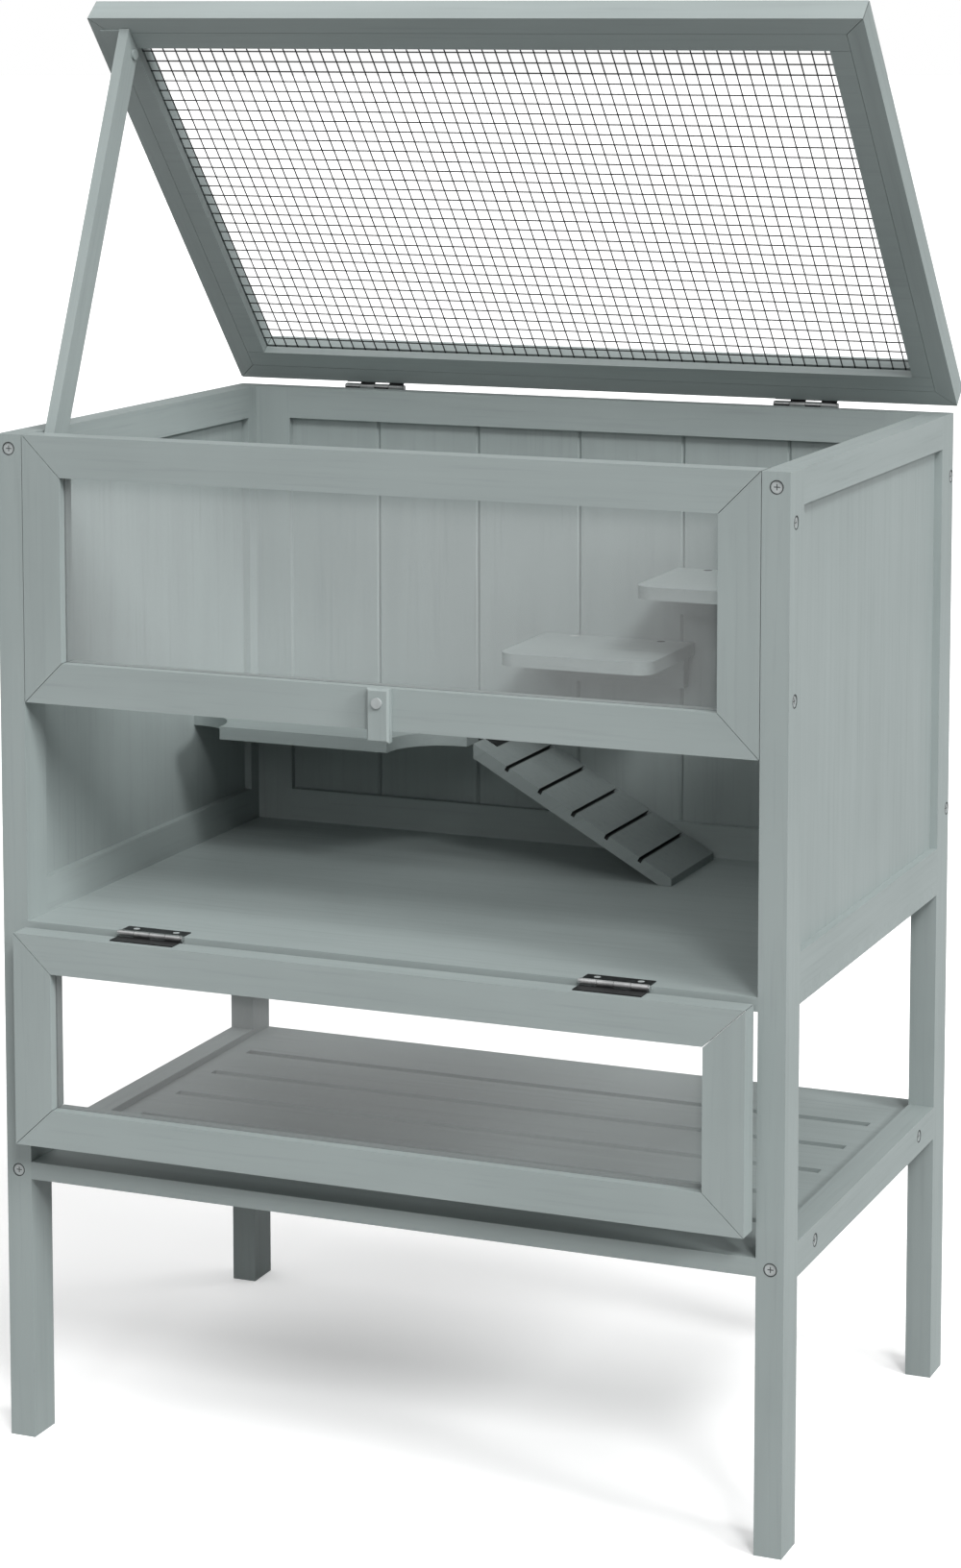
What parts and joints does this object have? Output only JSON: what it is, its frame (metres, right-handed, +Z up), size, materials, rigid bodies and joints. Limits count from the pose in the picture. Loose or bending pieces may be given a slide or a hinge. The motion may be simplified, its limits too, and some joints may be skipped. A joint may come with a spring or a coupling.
{
  "type": "raised small-pet hutch",
  "caption": "Wooden small-pet hutch on four posts: drop-down front door, window, hinged mesh lid on a prop stick, ramp and platform inside, slatted shelf below.",
  "frame": {"origin": "on the ground, centred between the four feet's outer faces, which is within 3 mm of the middle of the bounding box's base", "axes": "+Z up, -Y towards the front with the door, +X to the right seen from the front"},
  "size_m": [0.604, 0.4407, 1.0581],
  "materials": {
    "painted_frame_wood": "satin grey-green paint over solid softwood",
    "painted_board": "satin grey-green paint over board",
    "clear_sheet": "clear",
    "painted_steel": "satin grey-green paint over steel",
    "black_steel": "semi-gloss black",
    "bright_steel": "zinc plated",
    "mesh_wire": "galvanised"
  },
  "bodies": {
    "cage": {"post_front_left": "painted_frame_wood", "post_front_right": "painted_frame_wood", "post_back_left": "painted_frame_wood", "post_back_right": "painted_frame_wood", "side_top_rail_left": "painted_frame_wood", "side_top_rail_right": "painted_frame_wood", "side_bottom_rail_left": "painted_frame_wood", "side_bottom_rail_right": "painted_frame_wood", "back_top_rail": "painted_frame_wood", "back_bottom_rail": "painted_frame_wood", "back_stile_left": "painted_frame_wood", "back_stile_right": "painted_frame_wood", "window_rail_top": "painted_frame_wood", "window_rail_bottom": "painted_frame_wood", "window_stile_left": "painted_frame_wood", "window_stile_right": "painted_frame_wood", "shelf_rail_left": "painted_frame_wood", "shelf_rail_right": "painted_frame_wood", "wall_cleats": "painted_frame_wood", "side_panel_left": "painted_board", "side_panel_right": "painted_board", "back_board_1": "painted_board", "back_board_2": "painted_board", "back_board_3": "painted_board", "back_board_4": "painted_board", "back_board_5": "painted_board", "back_board_6": "painted_board", "floor_board": "painted_board", "platform": "painted_board", "jump_step_lower": "painted_board", "jump_step_upper": "painted_board", "shelf_board": "painted_board", "window_pane": "clear_sheet", "platform_hinge_leaf": "black_steel", "hinge_fixed_leaves": "black_steel", "hinge_pins": "bright_steel", "frame_screws": "bright_steel", "fitting_screws": "bright_steel"},
    "door": {"door_rail_hinge": "painted_frame_wood", "door_rail_free": "painted_frame_wood", "door_stile_left": "painted_frame_wood", "door_stile_right": "painted_frame_wood", "door_pane": "clear_sheet", "door_hinge_leaves": "black_steel", "door_screws": "bright_steel"},
    "lid": {"lid_rail_back": "painted_frame_wood", "lid_rail_front": "painted_frame_wood", "lid_rail_left": "painted_frame_wood", "lid_rail_right": "painted_frame_wood", "lid_battens": "painted_frame_wood", "lid_mesh": "mesh_wire", "lid_hinge_leaves": "black_steel", "lid_screws": "bright_steel", "prop_bracket": "painted_steel", "prop_pivot": "bright_steel"},
    "prop": {"prop_stick": "painted_frame_wood"},
    "turn_button": {"turn_button": "painted_frame_wood"},
    "ramp": {"ramp": "painted_board", "ramp_hinge_leaf": "black_steel", "ramp_screws": "bright_steel"}
  },
  "joints": [
    {"name": "lid_swing", "type": "hinge", "parent": "cage", "child": "lid", "pos_m": [0, 0.20275, 0.7491], "axis": [1, 0, 0], "range_deg": [-50, 48.8]},
    {"name": "prop_fold", "type": "hinge", "parent": "lid", "child": "prop", "pos_m": [-0.2743, -0.03961, 1.01851], "axis": [1, 0, 0], "range_deg": [0, 63]},
    {"name": "door_swing", "type": "hinge", "parent": "cage", "child": "door", "pos_m": [0, -0.20275, 0.3902], "axis": [-1, 0, 0], "range_deg": [0, 180]},
    {"name": "button_turn", "type": "hinge", "parent": "cage", "child": "turn_button", "pos_m": [0.003, -0.203, 0.5735], "axis": [0, 1, 0], "continuous": true},
    {"name": "ramp_lift", "type": "hinge", "parent": "cage", "child": "ramp", "pos_m": [-0.0476, 0.128, 0.4904], "axis": [0, -1, 0], "range_deg": [0, 38]}
  ]
}
